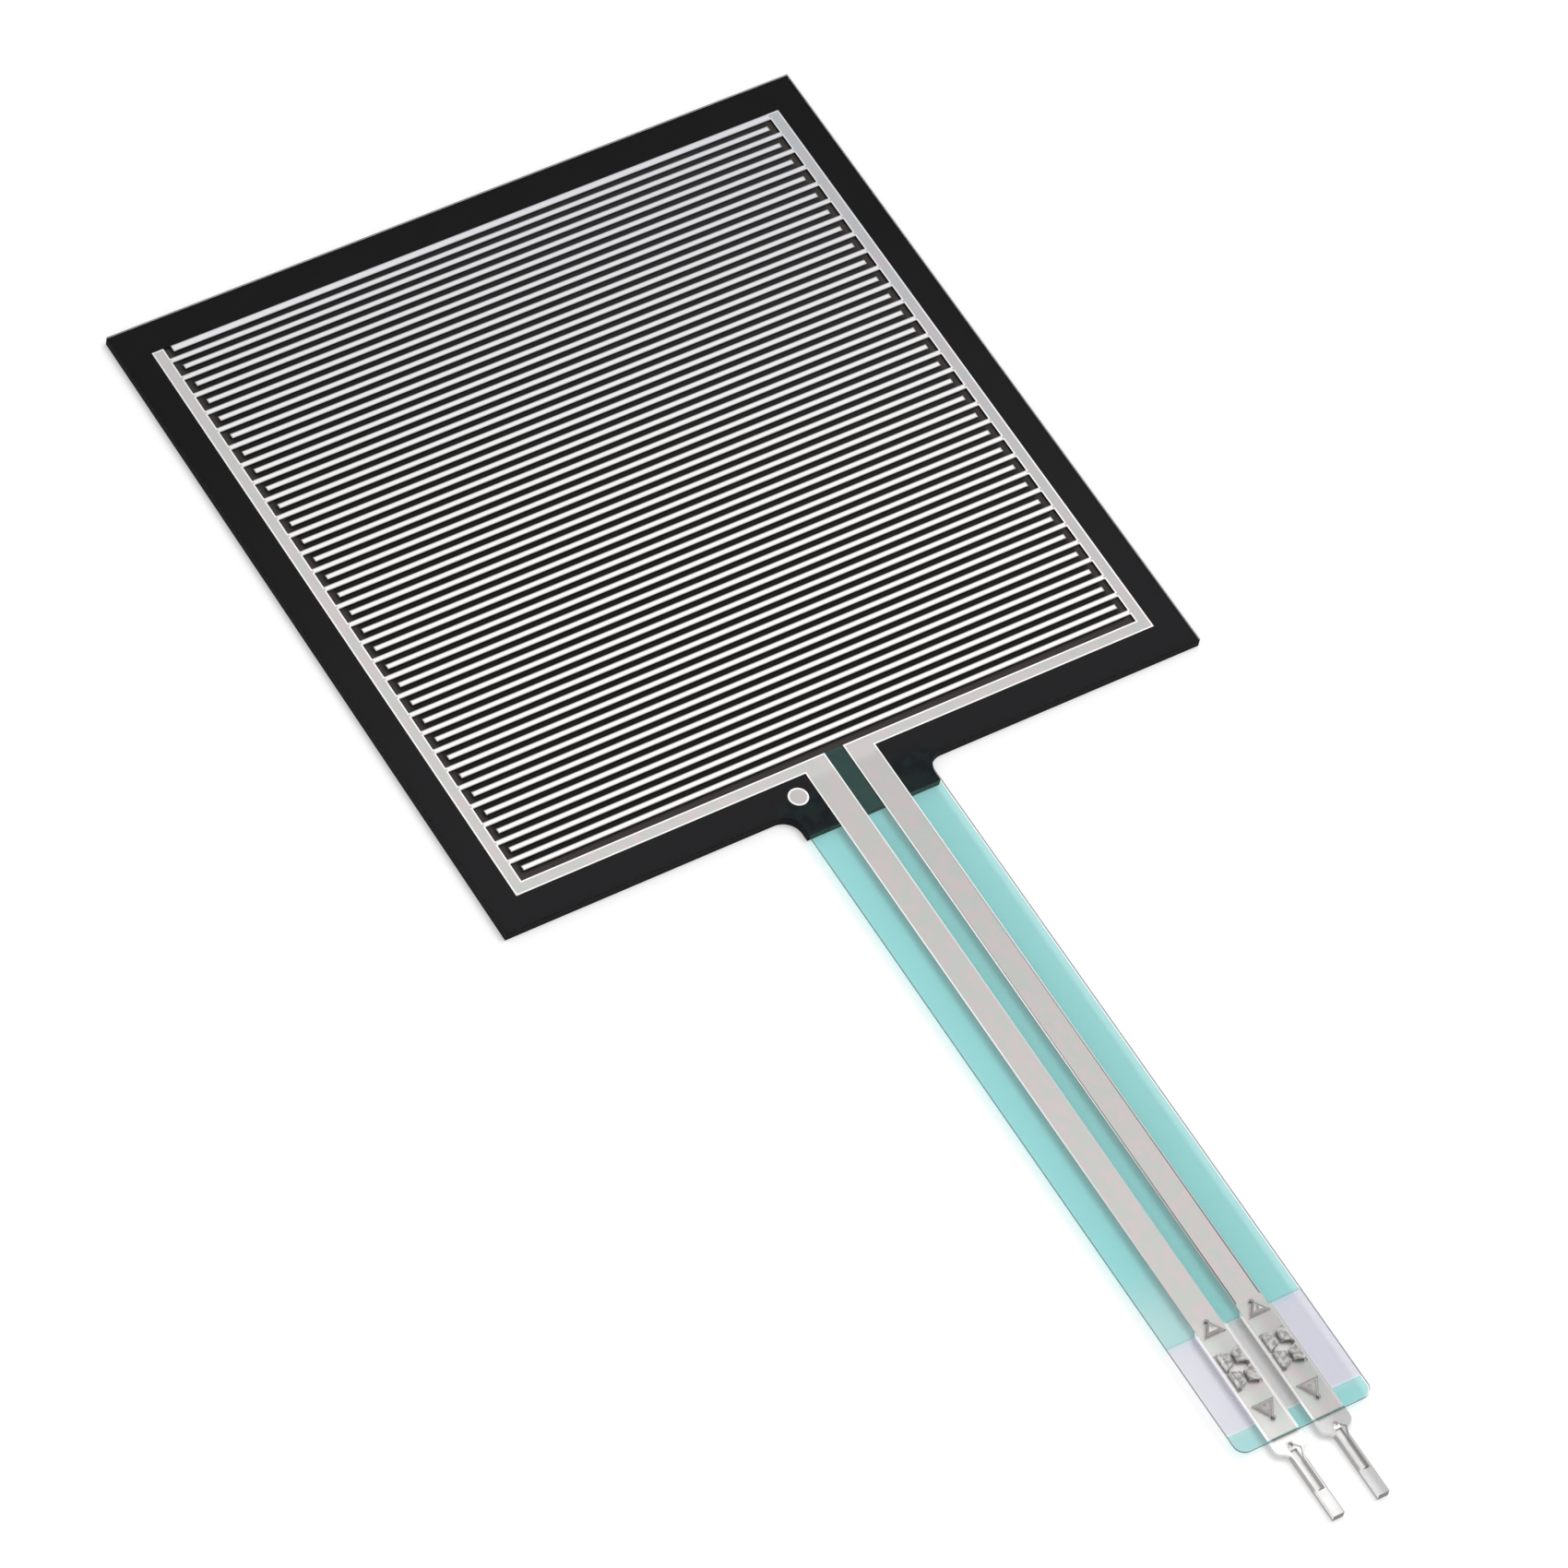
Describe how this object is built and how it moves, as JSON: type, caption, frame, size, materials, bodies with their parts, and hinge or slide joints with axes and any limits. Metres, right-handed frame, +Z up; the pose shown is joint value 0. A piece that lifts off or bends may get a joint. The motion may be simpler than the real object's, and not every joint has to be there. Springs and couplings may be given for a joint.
{
  "type": "force sensing resistor",
  "caption": "Flat square force sensor on clear film, with interleaved silver fingers over black carbon and a long tail that ends in crimped solder pins.",
  "frame": {"origin": "middle of the square head on its underside, the face that is stuck down", "axes": "+Z up through the layers to the side that is pressed, +Y away from the tail"},
  "size_m": [0.04, 0.0853, 0.0008],
  "materials": {
    "liner": "coated brown paper",
    "clear_adhesive": "clear and tacky, dark over the black film",
    "backing": "satin",
    "carbon_ink": "matt",
    "black_adhesive": "satin",
    "silver_ink": "fine grained",
    "teal_ink": "translucent",
    "clear_film": "clear gloss",
    "tinned_metal": "tinned, satin"
  },
  "bodies": {
    "root": {"release_liner": "liner", "rear_adhesive": "clear_adhesive", "backing_film": "backing", "carbon_layer": "carbon_ink", "spacer_adhesive": "black_adhesive", "left_electrode": "silver_ink", "right_electrode": "silver_ink", "registration_dot": "silver_ink", "tail_dielectric": "teal_ink", "end_dielectric": "teal_ink", "electrode_film": "clear_film", "left_terminal": "tinned_metal", "right_terminal": "tinned_metal"}
  },
  "joints": []
}
